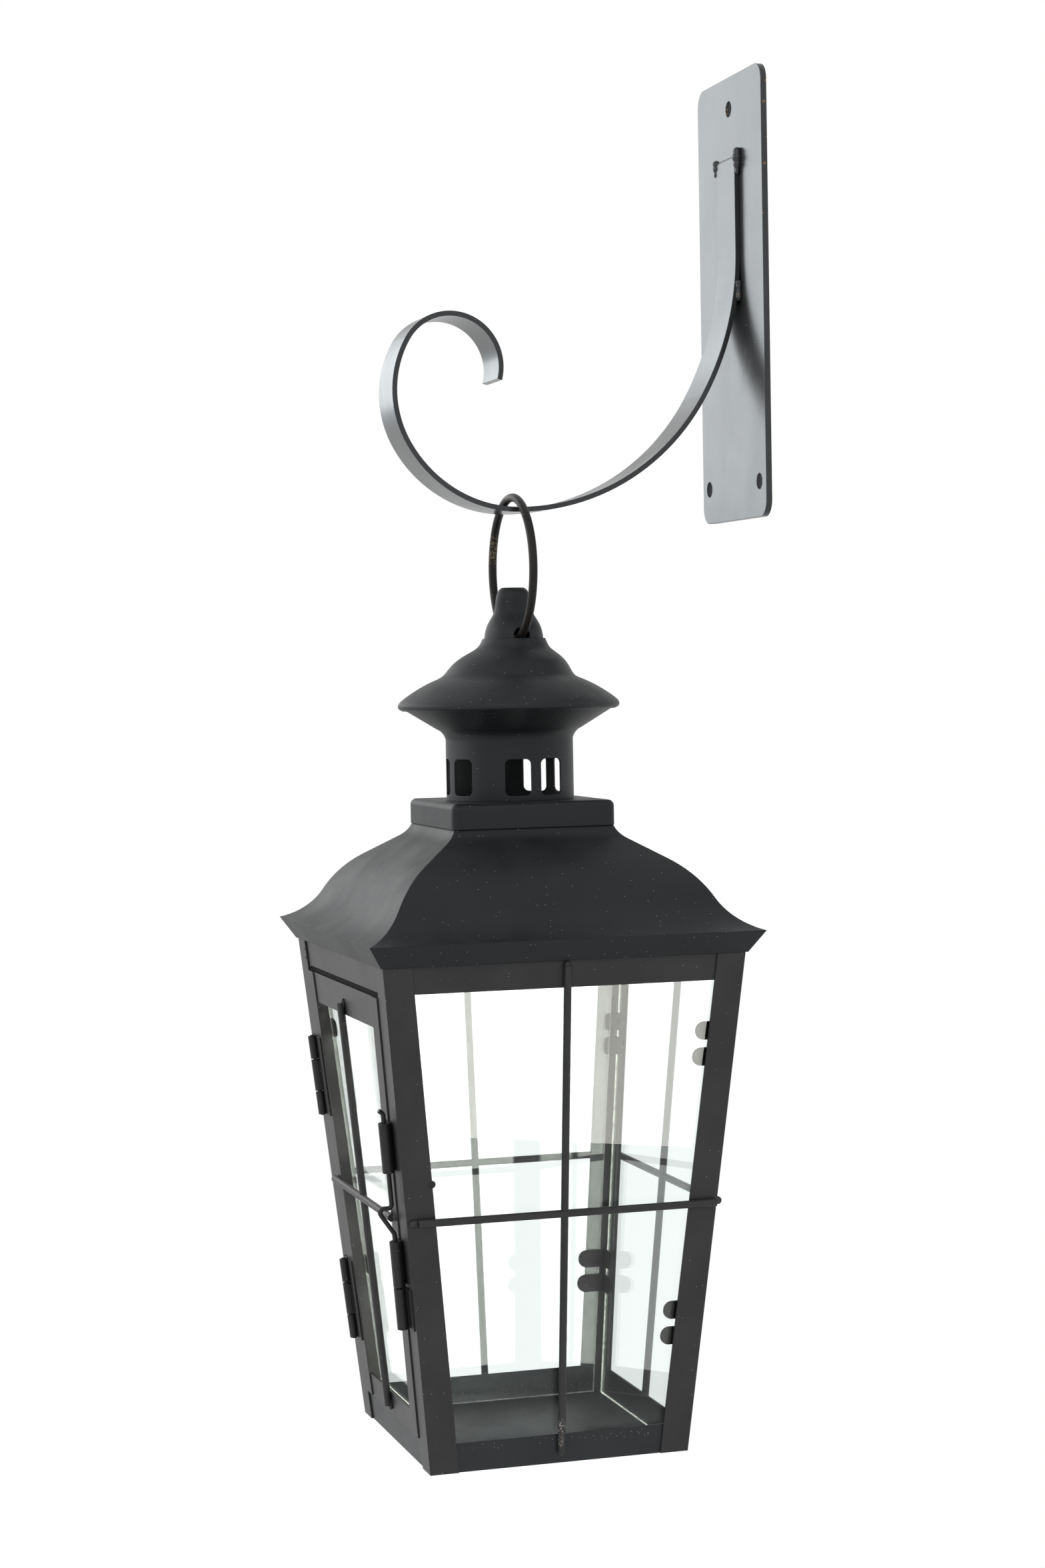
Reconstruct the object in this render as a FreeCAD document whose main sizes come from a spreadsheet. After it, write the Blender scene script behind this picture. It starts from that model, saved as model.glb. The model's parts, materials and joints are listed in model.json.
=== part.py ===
"""Candle lantern on a scrolled wall bracket.

Frame: origin at the centre of the wall plate's back face, wall in the plane Y = 0, +Z up.
The lantern hangs on the -Y side, its door faces -Y, millimetres throughout.
"""
import FreeCAD, Part
import math
import os
import Sketcher
from FreeCAD import Placement, Rotation, Vector

SIZES = {
    # Wall plate
    "plate_width": 73, "plate_height": 183, "plate_thick": 2.5, "plate_corner": 7,
    "screw_hole": 6.5, "top_hole_drop": 13, "low_hole_rise": 14.5, "low_hole_pitch": 58,
    # Scrolled strip: straight on the plate, then five tangent bends
    "strip_width": 22, "strip_thick": 2, "strip_drop": 34.5, "bend_start": 18.3,
    "wall_bend": 118.6, "wall_turn": 30, "reach_bend": 92.5, "bight_bend": 52.3,
    "rise_bend": 41.8, "side_turn": 60, "curl_bend": 20.8, "curl_turn": 165,
    "weld_leg": 3, "weld_length": 8, "low_weld_rise": 3,
    # Hanging ring
    "ring_radius": 29, "ring_wire": 1.7, "ring_play": 0.3,
    # Hanger knob, soldered on off centre: each rise is from the level below it
    "knob_shift": 2.7, "eye_rise": 5.1, "eye_hole": 3.4, "eye_offset": 1, "eye_inset": 0.9, "eye_taper": 1.1,
    "knob_wall": 1, "knob_sink": 3, "knob_flare": 0.8, "neck_rise": 10.2, "tab_rise": 9.5,
    "tab_foot_width": 7.9, "tab_foot_depth": 5.8, "tab_top_width": 6.5, "tab_top_depth": 5, "tab_round": 2.1,
    # Tapered body
    "base_half": 53.3, "top_half": 73.5, "body_height": 201, "gauge": 0.8,
    "post_leg": 11.6, "rail_drop": 10.7, "tray_wall": 11.8,
    "glass": 2, "pane_play": 0.15, "pane_lap": 5.5, "door_lap": 3,
    "rod": 1.5, "rod_height": 101.2, "rod_low": 5, "rod_top_gap": 2, "rod_inset": 2.5,
    "rod_shift": 1.7, "clip_low": 52.5, "clip_drop": 25.5, "back_clip_drop": 36, "tab_tall": 7.3,
    "tab_pitch": 10.4, "tab_reach": 4.3, "tab_corner": 3.5, "clip_play": 0.3,
    # Roof and crown: each rise and step is from the level below it
    "fascia_out": 0.8, "flange_in": 12.3, "eave_out": 5.7, "eave_rise": 8.7,
    "sweep_in": 15.3, "sweep_rise": 11.9, "sweep_bulge": 0.194,
    "brow_in": 14.7, "brow_rise": 15.8, "brow_bulge": 0.132,
    "flare_in": 12.7, "flare_rise": 7.9, "neck_rise_in_crown": 8.9, "neck_play": 0.7,
    "crown_in": 3.4, "crown_rise": 6.4, "crown_round": 2.5,
    # Chimney and dome
    "chimney_radius": 26, "chimney_rise": 24.6, "fillet_out": 3.6, "fillet_rise": 4.3, "fillet_bulge": 0.248,
    "rim_out": 14.6, "rim_rise": 9.9, "rim_edge": 0.9,
    "vent_width": 10.5, "vent_tall": 14.7, "vent_foot": 2.2, "vent_corner": 2.2,
    "vent_a_turn": 24, "vent_b_turn": 106, "vent_c_turn": 139, "vent_d_turn": 184, "vent_e_turn": 263,
    "vent_f_turn": 296, "vent_g_turn": 351,
    "shoulder_in": 17.6, "shoulder_rise": 11.4, "skirt_bulge": 0.1,
    "dome_in": 13.4, "dome_rise": 11.1, "bell_bulge": 0.05, "dome_lap": 4.2,
    # Door, hung at the front left post
    "door_gap": 0.8, "door_low": 12.3, "door_drop": 12.8, "stile_width": 9.5, "stile_thick": 1.6,
    "stile_proud": 0.6, "return_depth": 3, "door_top_rail": 12.5, "door_low_rail": 9, "door_sheet": 1,
    "door_clip_low": 66, "door_rod_low": 3.3, "door_rod_high": 7.7, "door_rod_inset": 3,
    "stop_drop": 4, "stop_gap": 0.4,
    # Hinges
    "upper_hinge_drop": 60.3, "lower_hinge_rise": 22.1, "hinge_end": 9.5, "hinge_middle": 13,
    "hinge_slit": 0.4, "hinge_barrel": 1.75, "hinge_pin": 0.9, "running_gap": 0.06, "leaf": 0.7,
    "leaf_width": 8, "barrel_gap": 0.2,
    # Latch
    "latch_barrel": 2.3, "bolt": 0.9, "keeper_low": 58, "keeper_tall": 16.2, "lower_barrel_tall": 18,
    "upper_barrel_tall": 19.5, "latch_leaf": 7, "latch_slit": 0.8, "bolt_drop": 0.3, "bolt_travel": 2.4,
    "bolt_lift": 13.5, "loop_play": 0.6, "loop_rise": 11, "loop_reach": 6.2, "loop_dip": 0.8,
    "loop_bend": 1.6, "nib_rise": 3.6, "nib_reach": 1.6,
}

# Sizes that follow from the ones above
FOLLOWS = {
    "lean": "=(top_half - base_half) / body_height",
    "face_lean": "=atan(lean)",
    "corner_lean": "=atan(sqrt(2) * lean)",
    "corner_stretch": "=sqrt(1 + 2 * lean * lean)",
    "face_stretch": "=sqrt(1 + lean * lean)",
    "rod_seat": "=rod * face_stretch",
    "arm_y": "=-(plate_thick + strip_thick / 2)",
    "strip_top": "=plate_height / 2 - strip_drop",
    "low_y": "=arm_y - wall_bend * (1 - cos(wall_turn)) - reach_bend * cos(wall_turn)",
    "low_z": "=bend_start - wall_bend * sin(wall_turn) - reach_bend * (1 - sin(wall_turn))",
    "ring_inner": "=ring_radius - ring_wire",
    "ring_z": "=low_z + strip_thick / 2 + ring_play - sqrt(ring_inner ^ 2 - strip_width ^ 2 / 4)",
    "fascia_half": "=top_half + fascia_out",
    "flange_half": "=fascia_half - flange_in",
    "eave_half": "=fascia_half + eave_out",
    "eave_height": "=body_height + eave_rise",
    "sweep_half": "=eave_half - sweep_in",
    "sweep_height": "=eave_height + sweep_rise",
    "sweep_radius": "=sqrt(sweep_in ^ 2 + sweep_rise ^ 2) * (sweep_bulge + 1 / sweep_bulge) / 4",
    "brow_half": "=sweep_half - brow_in",
    "brow_height": "=sweep_height + brow_rise",
    "brow_radius": "=sqrt(brow_in ^ 2 + brow_rise ^ 2) * (brow_bulge + 1 / brow_bulge) / 4",
    "flare_half": "=brow_half - flare_in",
    "flare_height": "=brow_height + flare_rise",
    "crown_half": "=flare_half - crown_in",
    "neck_half": "=crown_half - gauge - neck_play",
    "neck_foot": "=flare_height + neck_rise_in_crown",
    "crown_top": "=neck_foot + crown_rise",
    "flare_run": "=flare_half - neck_half",
    "flare_radius": "=(flare_run ^ 2 + neck_rise_in_crown ^ 2) / (2 * flare_run)",
    "crown_low": "=neck_foot - sqrt(flare_radius ^ 2 - (flare_radius - neck_play) ^ 2)",
    "vent_low": "=crown_top + vent_foot",
    "vent_high": "=vent_low + vent_tall",
    "flare_start": "=crown_top + chimney_rise",
    "flare_end_radius": "=chimney_radius + fillet_out",
    "flare_end_height": "=flare_start + fillet_rise",
    "flare_fillet": "=sqrt(fillet_out ^ 2 + fillet_rise ^ 2) * (fillet_bulge + 1 / fillet_bulge) / 4",
    "rim_radius": "=flare_end_radius + rim_out",
    "rim_height": "=flare_end_height + rim_rise",
    "shoulder_radius": "=rim_radius - shoulder_in",
    "shoulder_height": "=rim_height + shoulder_rise",
    "skirt_radius": "=sqrt(shoulder_in ^ 2 + shoulder_rise ^ 2) * (skirt_bulge + 1 / skirt_bulge) / 4",
    "dome_top_radius": "=shoulder_radius - dome_in",
    "dome_top": "=shoulder_height + dome_rise",
    "bell_radius": "=sqrt(dome_in ^ 2 + dome_rise ^ 2) * (bell_bulge + 1 / bell_bulge) / 4",
    "dome_hole": "=dome_top_radius - dome_lap",
    "eye_radius": "=dome_top_radius - eye_inset",
    "eye_height": "=dome_top + eye_rise",
    "neck_height": "=eye_height + neck_rise",
    "knob_top": "=neck_height + tab_rise",
    "pivot_z": "=ring_z - sqrt(ring_radius ^ 2 - eye_radius ^ 2)",
    "base_z": "=pivot_z - eye_offset - eye_height",
    "body_y": "=low_y - knob_shift",
    "opening_top": "=body_height - rail_drop",
    "clip_high": "=opening_top - clip_drop",
    "back_clip_high": "=opening_top - back_clip_drop",
    "door_high": "=body_height - door_drop",
    "upper_hinge": "=door_high - upper_hinge_drop",
    "lower_hinge": "=door_low + lower_hinge_rise",
    "pane_in": "=2 * gauge + pane_play",
    "pane_back": "=pane_in + glass",
    "door_edge": "=post_leg + door_gap",
    "stile_edge": "=door_edge + stile_width",
    "stile_back": "=stile_thick - stile_proud",
    "return_back": "=stile_back + return_depth",
    "door_glass_in": "=return_back + pane_play",
    "door_glass_back": "=door_glass_in + glass",
    "hinge_inset": "=post_leg + door_gap / 2",
    "hinge_out": "=stile_proud + hinge_barrel + barrel_gap",
    "latch_inset": "=post_leg - latch_barrel - 2 * barrel_gap",
    "latch_out": "=stile_proud + latch_barrel + barrel_gap",
    "lower_barrel_low": "=keeper_low + keeper_tall + latch_slit",
    "lower_barrel_high": "=lower_barrel_low + lower_barrel_tall",
    "bolt_tip": "=lower_barrel_low - bolt_drop",
    "loop_low": "=lower_barrel_high + bolt_travel + loop_play",
    "loop_high": "=loop_low + loop_rise",
    "upper_barrel_low": "=loop_high + bolt_lift",
    "upper_barrel_high": "=upper_barrel_low + upper_barrel_tall",
}

doc = FreeCAD.newDocument("candle_lantern")
sheet = doc.addObject("Spreadsheet::Sheet", "size")
for row, (alias, text) in enumerate([*SIZES.items(), *FOLLOWS.items()], start=1):
    sheet.set(f"A{row}", alias)
    sheet.set(f"B{row}", str(text))
    sheet.setAlias(f"B{row}", alias)
doc.recompute()

finished = []

# Stands a flat outline up across X, its own up along Z
UPRIGHT = Rotation(Vector(1, 1, 1), 120)


def bind(obj, **bounds):
    """Binds properties to expressions; a double underscore stands for a dot."""
    for prop, text in bounds.items():
        obj.setExpression(prop.replace("__", "."), str(text))
    return obj


def make(kind, name, **bounds):
    return bind(doc.addObject(kind, name), **bounds)


def value(text):
    """The number that an expression of the sheet's sizes comes to."""
    return float(sheet.evalExpression(text.replace("size.", "")))


def finish(obj, label):
    """Marks an object as a finished piece under its own name."""
    obj.Label = label
    finished.append(obj)
    return obj


def boolean(kind, name, base, tool):
    obj = doc.addObject(kind, name)
    obj.Base = base
    obj.Tool = tool
    return obj


def cut(name, base, tool):
    return boolean("Part::Cut", name, base, tool)


def fuse(name, shapes):
    obj = doc.addObject("Part::MultiFuse", name)
    obj.Shapes = shapes
    return obj


def group(name, shapes):
    obj = doc.addObject("Part::Compound", name)
    obj.Links = shapes
    return obj


def hang(obj, x="0", y="0", z="0"):
    """Places a piece in the lantern's own frame, whose origin is its underside's centre."""
    return bind(obj, Placement__Base__x=x, Placement__Base__y=f"size.body_y + ({y})",
                Placement__Base__z=f"size.base_z + ({z})")


def turn(obj, axis, angle):
    """Turns a piece about an axis through its own base point."""
    obj.Placement = Placement(obj.Placement.Base, Rotation(Vector(*axis), value(angle)))
    return bind(obj, Placement__Rotation__Angle=angle)


def half(z):
    """Half the body's outside width at a height."""
    return f"(size.base_half + size.lean * ({z}))"


def side(sign, inset):
    """A face of the tapered body, moved in by inset, as a function of height."""
    mark = "" if sign > 0 else "-"
    return lambda z: f"{mark}({half(z)} - ({inset}))"


def between(sign, outer, inner):
    """The span from one inset to a deeper one, low bound first."""
    bounds = (side(sign, inner), side(sign, outer))
    return bounds if sign > 0 else bounds[::-1]


def across(inset):
    """The span right across the body, short of both faces by inset."""
    return side(-1, inset), side(1, inset)


def slab(name, x_span, y_span, low, high):
    """A block whose four sides lean with the tapered body."""
    block = make("Part::Wedge", name, Ymin=low, Ymax=high)
    for prop, bound, z in (("Xmin", x_span[0], low), ("Xmax", x_span[1], low),
                           ("X2min", x_span[0], high), ("X2max", x_span[1], high)):
        block.setExpression(prop, bound(z))
    for prop, bound, z in (("Zmin", y_span[1], low), ("Zmax", y_span[0], low),
                           ("Z2min", y_span[1], high), ("Z2max", y_span[0], high)):
        block.setExpression(prop, f"-({bound(z)})")
    block.Placement.Rotation = Rotation(Vector(1, 0, 0), 90)
    return hang(block)


def outline(sketch, corners, arcs=None):
    """Closed outline through corners given as expressions; arcs maps a side to its radius.

    A positive radius bulges to the left of the side's direction, a negative one to its right.
    """
    arcs = arcs or {}
    points = [Vector(value(x), value(y), 0) for x, y in corners]
    ends = []
    for index, start in enumerate(points):
        stop = points[(index + 1) % len(points)]
        if index not in arcs:
            ends.append((sketch.addGeometry(Part.LineSegment(start, stop)), 1, 2))
            continue
        sign, radius = arcs[index]
        middle = arc_middle(start, stop, sign * value(radius))
        centre = middle + ((start + stop) / 2 - middle).normalize() * value(radius)
        first, last = (stop, start) if sign > 0 else (start, stop)
        angles = [math.atan2(point.y - centre.y, point.x - centre.x) for point in (first, last)]
        circle = Part.Circle(centre, Vector(0, 0, 1), value(radius))
        geo = sketch.addGeometry(Part.ArcOfCircle(circle, *angles))
        ends.append((geo, 2, 1) if sign > 0 else (geo, 1, 2))
    rules = []
    for index, (geo, first, last) in enumerate(ends):
        following = ends[(index + 1) % len(ends)]
        sketch.addConstraint(Sketcher.Constraint("Coincident", geo, last, following[0], following[1]))
    for index, (geo, first, last) in enumerate(ends):
        for kind, text, number in (("DistanceX", corners[index][0], points[index].x),
                                   ("DistanceY", corners[index][1], points[index].y)):
            rules.append((sketch.addConstraint(Sketcher.Constraint(kind, -1, 1, geo, first, number)), text))
        if index in arcs:
            radius = arcs[index][1]
            rules.append((sketch.addConstraint(Sketcher.Constraint("Radius", geo, value(radius))), radius))
    for rule, text in rules:
        sketch.setExpression(f"Constraints[{rule}]", text)


def arc_middle(start, stop, radius):
    """The middle of the arc of that radius between two points, on its bulging side."""
    chord = stop - start
    rise = abs(radius) - math.sqrt(radius ** 2 - chord.Length ** 2 / 4)
    left = Vector(-chord.y, chord.x, 0).normalize()
    return (start + stop) / 2 + left * math.copysign(rise, radius)


def plane_sketch(body, role, name):
    sketch = body.newObject("Sketcher::SketchObject", name)
    plane = [item for item in body.Origin.OriginFeatures if item.Role == role][0]
    sketch.AttachmentSupport = [(plane, "")]
    sketch.MapMode = "FlatFace"
    return sketch


def spun(name, corners, arcs):
    """A sheet metal piece spun about the lantern's axis, from its closed section."""
    body = doc.addObject("PartDesign::Body", name)
    section = plane_sketch(body, "XZ_Plane", f"{name}_section")
    outline(section, corners, arcs)
    spin = body.newObject("PartDesign::Revolution", f"{name}_spin")
    spin.Profile = section
    spin.ReferenceAxis = (section, ["V_Axis"])
    spin.Angle = 360
    doc.recompute()
    return body


def along_corner(name, sign, inset, out, low, high, radius):
    """A round bar along a front corner's lean, clear of the door face by out."""
    bar = make("Part::Cylinder", name, Radius=radius,
               Height=f"(({high}) - ({low})) * size.corner_stretch")
    mark = "" if sign > 0 else "-"
    hang(bar, f"{mark}({half(low)} - ({inset}))", f"-({half(low)} + ({out}))", low)
    return turn(bar, (1, sign, 0), "size.corner_lean")


def wall_plate():
    body = doc.addObject("PartDesign::Body", "wall_plate")
    sketch = plane_sketch(body, "XZ_Plane", "plate_outline")
    across_half, tall_half = "size.plate_width / 2", "size.plate_height / 2"
    outline(sketch, [(f"-{across_half}", f"-{tall_half}"), (across_half, f"-{tall_half}"),
                     (across_half, tall_half), (f"-{across_half}", tall_half)])
    pad = body.newObject("PartDesign::Pad", "plate_pad")
    pad.Profile = sketch
    bind(pad, Length="size.plate_thick")
    doc.recompute()
    rounding = body.newObject("PartDesign::Fillet", "plate_rounding")
    upright = [f"Edge{i}" for i, edge in enumerate(pad.Shape.Edges, start=1)
               if abs(edge.tangentAt(edge.FirstParameter).y) > 0.9]
    rounding.Base = (pad, upright)
    bind(rounding, Radius="size.plate_corner")
    doc.recompute()
    holes = plane_sketch(body, "XZ_Plane", "screw_holes")
    drill(holes, [("0", f"{tall_half} - size.top_hole_drop"),
                  ("-size.low_hole_pitch / 2", f"size.low_hole_rise - {tall_half}"),
                  ("size.low_hole_pitch / 2", f"size.low_hole_rise - {tall_half}")], "size.screw_hole")
    pocket = body.newObject("PartDesign::Pocket", "screw_pocket")
    pocket.Profile = holes
    pocket.Type = "ThroughAll"
    pocket.Midplane = True
    return finish(body, "wall_plate")


def drill(sketch, centres, diameter):
    """Circles at centres given as expressions; one on the middle line stays there."""
    for x, y in centres:
        place = Vector(0 if x == "0" else value(x), value(y), 0)
        circle = sketch.addGeometry(Part.Circle(place, Vector(0, 0, 1), value(diameter) / 2))
        rules = [("Diameter", (circle, value(diameter)), diameter),
                 ("DistanceY", (-1, 1, circle, 3, place.y), y)]
        if x == "0":
            sketch.addConstraint(Sketcher.Constraint("PointOnObject", circle, 3, -2))
        else:
            rules.append(("DistanceX", (-1, 1, circle, 3, place.x), x))
        for kind, parts, text in rules:
            rule = sketch.addConstraint(Sketcher.Constraint(kind, *parts))
            sketch.setExpression(f"Constraints[{rule}]", text)


def scroll_arm():
    """Flat strip: both faces are the same straight run and bends, half a thickness apart."""
    start = Vector(0, value("size.arm_y"), value("size.strip_top"))
    bend_from = Vector(0, value("size.arm_y"), value("size.bend_start"))
    bends = [("wall_bend", "wall_turn"), ("reach_bend", None), ("bight_bend", "side_turn"),
             ("rise_bend", "side_turn"), ("curl_bend", "curl_turn")]
    edges = []
    for offset in (-value("size.strip_thick") / 2, value("size.strip_thick") / 2):
        shift = Vector(0, -offset, 0)
        edges.append([Part.LineSegment(start + shift, bend_from + shift).toShape()])
        here, heading = bend_from, -90
        for bend, bend_turn in bends:
            radius = value(f"size.{bend}")
            angle = value(f"size.{bend_turn}") if bend_turn else 90 - value("size.wall_turn")
            centre = here + spoke(heading - 90) * radius
            rim = [centre + spoke(heading + 90 - share * angle) * (radius - offset) for share in (0, 0.5, 1)]
            edges[-1].append(Part.Arc(*rim).toShape())
            here = centre + spoke(heading + 90 - angle) * radius
            heading -= angle
    caps = [Part.LineSegment(edges[0][i].Vertexes[j].Point, edges[1][i].Vertexes[j].Point).toShape()
            for i, j in ((0, 0), (-1, -1))]
    rim = Part.Wire(Part.__sortEdges__(edges[0] + edges[1] + caps))
    arm = doc.addObject("Part::Feature", "scroll_arm")
    width = value("size.strip_width")
    shape = Part.Face(rim).extrude(Vector(width, 0, 0))
    shape.translate(Vector(-width / 2, 0, 0))
    arm.Shape = shape
    return finish(arm, "scroll_arm")


def spoke(degrees):
    """Unit vector in the plane of the scroll, 0 degrees towards the wall."""
    return Vector(0, math.cos(math.radians(degrees)), math.sin(math.radians(degrees)))


def weld_beads():
    beads = []
    rises = {"upper": "size.strip_top - size.weld_length",
             "lower": "size.low_weld_rise - size.weld_length / 2"}
    for level, rise in rises.items():
        for sign, start_angle in ((1, -90), (-1, 180)):
            bead = make("Part::Cylinder", f"weld_{level}_{'right' if sign > 0 else 'left'}",
                        Radius="size.weld_leg", Height="size.weld_length",
                        Placement__Base__x=f"{sign} * size.strip_width / 2",
                        Placement__Base__y="-size.plate_thick", Placement__Base__z=rise)
            bead.Angle = 90
            bead.Placement.Rotation = Rotation(Vector(0, 0, 1), start_angle)
            beads.append(bead)
    return finish(group("welds", beads), "weld_beads")


def hanging_ring():
    ring = make("Part::Torus", "ring", Radius1="size.ring_radius", Radius2="size.ring_wire",
                Placement__Base__y="size.low_y", Placement__Base__z="size.ring_z")
    ring.Placement.Rotation = Rotation(Vector(1, 0, 0), 90)
    return finish(ring, "hanging_ring")


def knob_skin(name, inset, foot_drop):
    """The knob's round foot passing into a flattened tab, moved in by inset."""
    foot, eye = "size.dome_top_radius + size.knob_flare", "size.eye_radius"
    upper_eye = f"{eye} - size.eye_taper"
    middle = [f"(size.tab_foot_{way} + size.tab_top_{way}) / 2" for way in ("width", "depth")]
    round_from = f"size.knob_top - size.tab_round - ({inset})"
    sections = [(f"size.dome_top - size.knob_sink - ({foot_drop})", foot, foot),
                ("size.eye_height - size.eye_hole", eye, eye),
                ("size.eye_height + size.eye_hole", upper_eye, upper_eye),
                ("size.neck_height", "size.tab_foot_width", "size.tab_foot_depth"),
                ("size.neck_height + size.tab_rise / 2", *middle),
                (round_from, "size.tab_top_width", "size.tab_top_depth"),
                (f"size.knob_top - ({inset})", "size.tab_top_width - size.tab_round",
                 "size.tab_top_depth - size.tab_round")]
    rings = []
    for index, (height, wide, deep) in enumerate(sections):
        ring = make("Part::Ellipse", f"{name}_{index}", MajorRadius=f"{wide} - ({inset})",
                    MinorRadius=f"{deep} - ({inset})")
        hang(ring, y="size.knob_shift", z=height)
        ring.Placement.Rotation = Rotation(Vector(0, 0, 1), 90)
        rings.append(ring)
    skin = doc.addObject("Part::Loft", name)
    skin.Sections = rings
    skin.Solid = True
    return skin


def hanger_knob():
    """Hollow knob with an eye for the ring, its foot coped to the dome under it."""
    shell = cut("knob_shell", knob_skin("knob_outer", "0", "0"),
                knob_skin("knob_inner", "size.knob_wall", "size.knob_wall"))
    hole = make("Part::Cylinder", "eye", Radius="size.eye_hole", Height="4 * size.eye_radius")
    hang(hole, "-2 * size.eye_radius", "size.knob_shift", "size.eye_height")
    hole.Placement.Rotation = Rotation(Vector(0, 1, 0), 90)
    seat = spun("knob_seat", [("0", "size.shoulder_height"), ("size.shoulder_radius", "size.shoulder_height"),
                              ("size.dome_top_radius", "size.dome_top"), ("0", "size.dome_top")],
                {1: (-1, "size.bell_radius")})
    return finish(cut("coped_knob", cut("knob", shell, hole), hang(seat)), "hanger_knob")


def cap_dome():
    body = spun("dome", [
        ("size.rim_radius", "size.rim_height"),
        ("size.shoulder_radius", "size.shoulder_height"),
        ("size.dome_top_radius", "size.dome_top"),
        ("size.dome_hole", "size.dome_top"),
        ("size.dome_hole", "size.dome_top - size.gauge"),
        ("size.dome_top_radius - size.gauge / 2", "size.dome_top - size.gauge"),
        ("size.shoulder_radius - size.gauge / 2", "size.shoulder_height - size.gauge"),
        ("size.rim_radius - 2 * size.gauge", "size.rim_height"),
    ], {0: (-1, "size.skirt_radius"), 1: (-1, "size.bell_radius"),
        5: (1, "size.bell_radius"), 6: (1, "size.skirt_radius")})
    return finish(hang(body), "cap_dome")


def chimney():
    """Tube with a flared top, pierced by vent slots that are not evenly spaced."""
    inner = "size.chimney_radius - size.gauge"
    body = spun("chimney_tube", [
        ("size.chimney_radius", "size.crown_top"),
        ("size.chimney_radius", "size.flare_start"),
        ("size.flare_end_radius", "size.flare_end_height"),
        ("size.rim_radius", "size.rim_height - size.rim_edge"),
        ("size.rim_radius", "size.rim_height"),
        ("size.rim_radius - 2 * size.gauge", "size.rim_height"),
        ("size.flare_end_radius - size.gauge", "size.flare_end_height + size.gauge"),
        (inner, "size.flare_start + size.gauge"),
        (inner, "size.crown_top"),
    ], {1: (1, "size.flare_fillet"), 6: (-1, "size.flare_fillet + size.gauge")})
    cutters = [vent_cutter(letter) for letter in "abcdefg"]
    return finish(cut("vented_chimney", hang(body), group("vents", cutters)), "chimney")


def vent_cutter(letter):
    """A bar in the shape of one vent slot, from the chimney's axis out through its wall."""
    sketch = doc.addObject("Sketcher::SketchObject", f"vent_{letter}_outline")
    near, far = "-size.vent_width / 2", "size.vent_width / 2"
    low, high, nip = "size.vent_low", "size.vent_high", "size.vent_corner"
    corners = [(f"{near} + {nip}", low), (f"{far} - {nip}", low), (far, f"{low} + {nip}"),
               (far, f"{high} - {nip}"), (f"{far} - {nip}", high), (f"{near} + {nip}", high),
               (near, f"{high} - {nip}"), (near, f"{low} + {nip}")]
    outline(sketch, corners, {side_index: (-1, nip) for side_index in (1, 3, 5, 7)})
    sketch.Placement.Rotation = UPRIGHT
    bar = doc.addObject("Part::Extrusion", f"vent_{letter}_bar")
    bar.Base = sketch
    bar.DirMode = "Normal"
    bar.Solid = True
    bind(bar, LengthFwd="2 * size.chimney_radius")
    return turn(hang(bar), (0, 0, 1), f"size.vent_{letter}_turn")


def rounded_box(name, half_width, low, high, radius):
    """A square block with its upright and top edges rounded."""
    block = make("Part::Box", f"{name}_block", Length=f"2 * ({half_width})", Width=f"2 * ({half_width})",
                 Height=f"({high}) - ({low})")
    hang(block, f"-({half_width})", f"-({half_width})", low)
    doc.recompute()
    rounding = doc.addObject("Part::Fillet", name)
    rounding.Base = block
    foot = block.Shape.BoundBox.ZMin
    keep = [i for i, edge in enumerate(block.Shape.Edges, start=1)
            if edge.BoundBox.ZMax > foot + value("size.gauge")]
    rounding.Edges = [(i, value(radius), value(radius)) for i in keep]
    return rounding


def roof():
    """Four-sided ogee: the same section crossed with itself, hollowed to sheet gauge."""
    neck = (value("size.neck_half"), value("size.crown_top - size.crown_round"))
    foot = (value("size.neck_half"), value("size.neck_foot"))
    flare = (value("size.flare_half"), value("size.flare_height"))
    brow = (value("size.brow_half"), value("size.brow_height"))
    sweep = (value("size.sweep_half"), value("size.sweep_height"))
    eave = (value("size.eave_half"), value("size.eave_height"))
    fascia = (value("size.fascia_half"), value("size.body_height"))
    right = [("line", neck, foot, 0), ("arc", foot, flare, -value("size.flare_radius")),
             ("line", flare, brow, 0), ("arc", brow, sweep, value("size.brow_radius")),
             ("arc", sweep, eave, -value("size.sweep_radius")), ("line", eave, fascia, 0)]
    edges = []
    for sign in (1, -1):
        for kind, start, stop, radius in right:
            ends = [Vector(start[0], start[1], 0), Vector(stop[0], stop[1], 0)]
            if kind == "arc":
                ends.insert(1, arc_middle(ends[0], ends[1], radius))
            placed = [Vector(sign * point.x, 0, point.y) for point in ends]
            edges.append((Part.Arc(*placed) if kind == "arc" else Part.LineSegment(*placed)).toShape())
    for x, z in (neck, fascia):
        edges.append(Part.LineSegment(Vector(-x, 0, z), Vector(x, 0, z)).toShape())
    section = Part.Face(Part.Wire(Part.__sortEdges__(edges)))
    gauge = value("size.gauge")
    shell = crossed(section).cut(crossed(section.makeOffset2D(-gauge)))
    shell = shell.cut(square_hole(neck[0] - gauge, neck[1]))
    shell = shell.cut(square_hole(value("size.flange_half"), fascia[1]))
    piece = doc.addObject("Part::Feature", "roof")
    piece.Shape = shell.removeSplitter()
    return finish(hang(piece), "roof")


def crossed(section):
    """A section in the XZ plane, drawn out along Y and again along X, and what both share."""
    reach = 2 * value("size.eave_half")
    bar = section.extrude(Vector(0, 2 * reach, 0))
    bar.translate(Vector(0, -reach, 0))
    other = bar.copy()
    other.rotate(Vector(0, 0, 0), Vector(0, 0, 1), 90)
    return bar.common(other)


def square_hole(half_width, height):
    """A square cutter through one sheet at a height."""
    depth = 4 * value("size.gauge")
    corner = Vector(-half_width, -half_width, height - depth / 2)
    return Part.makeBox(2 * half_width, 2 * half_width, depth, corner)


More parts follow.
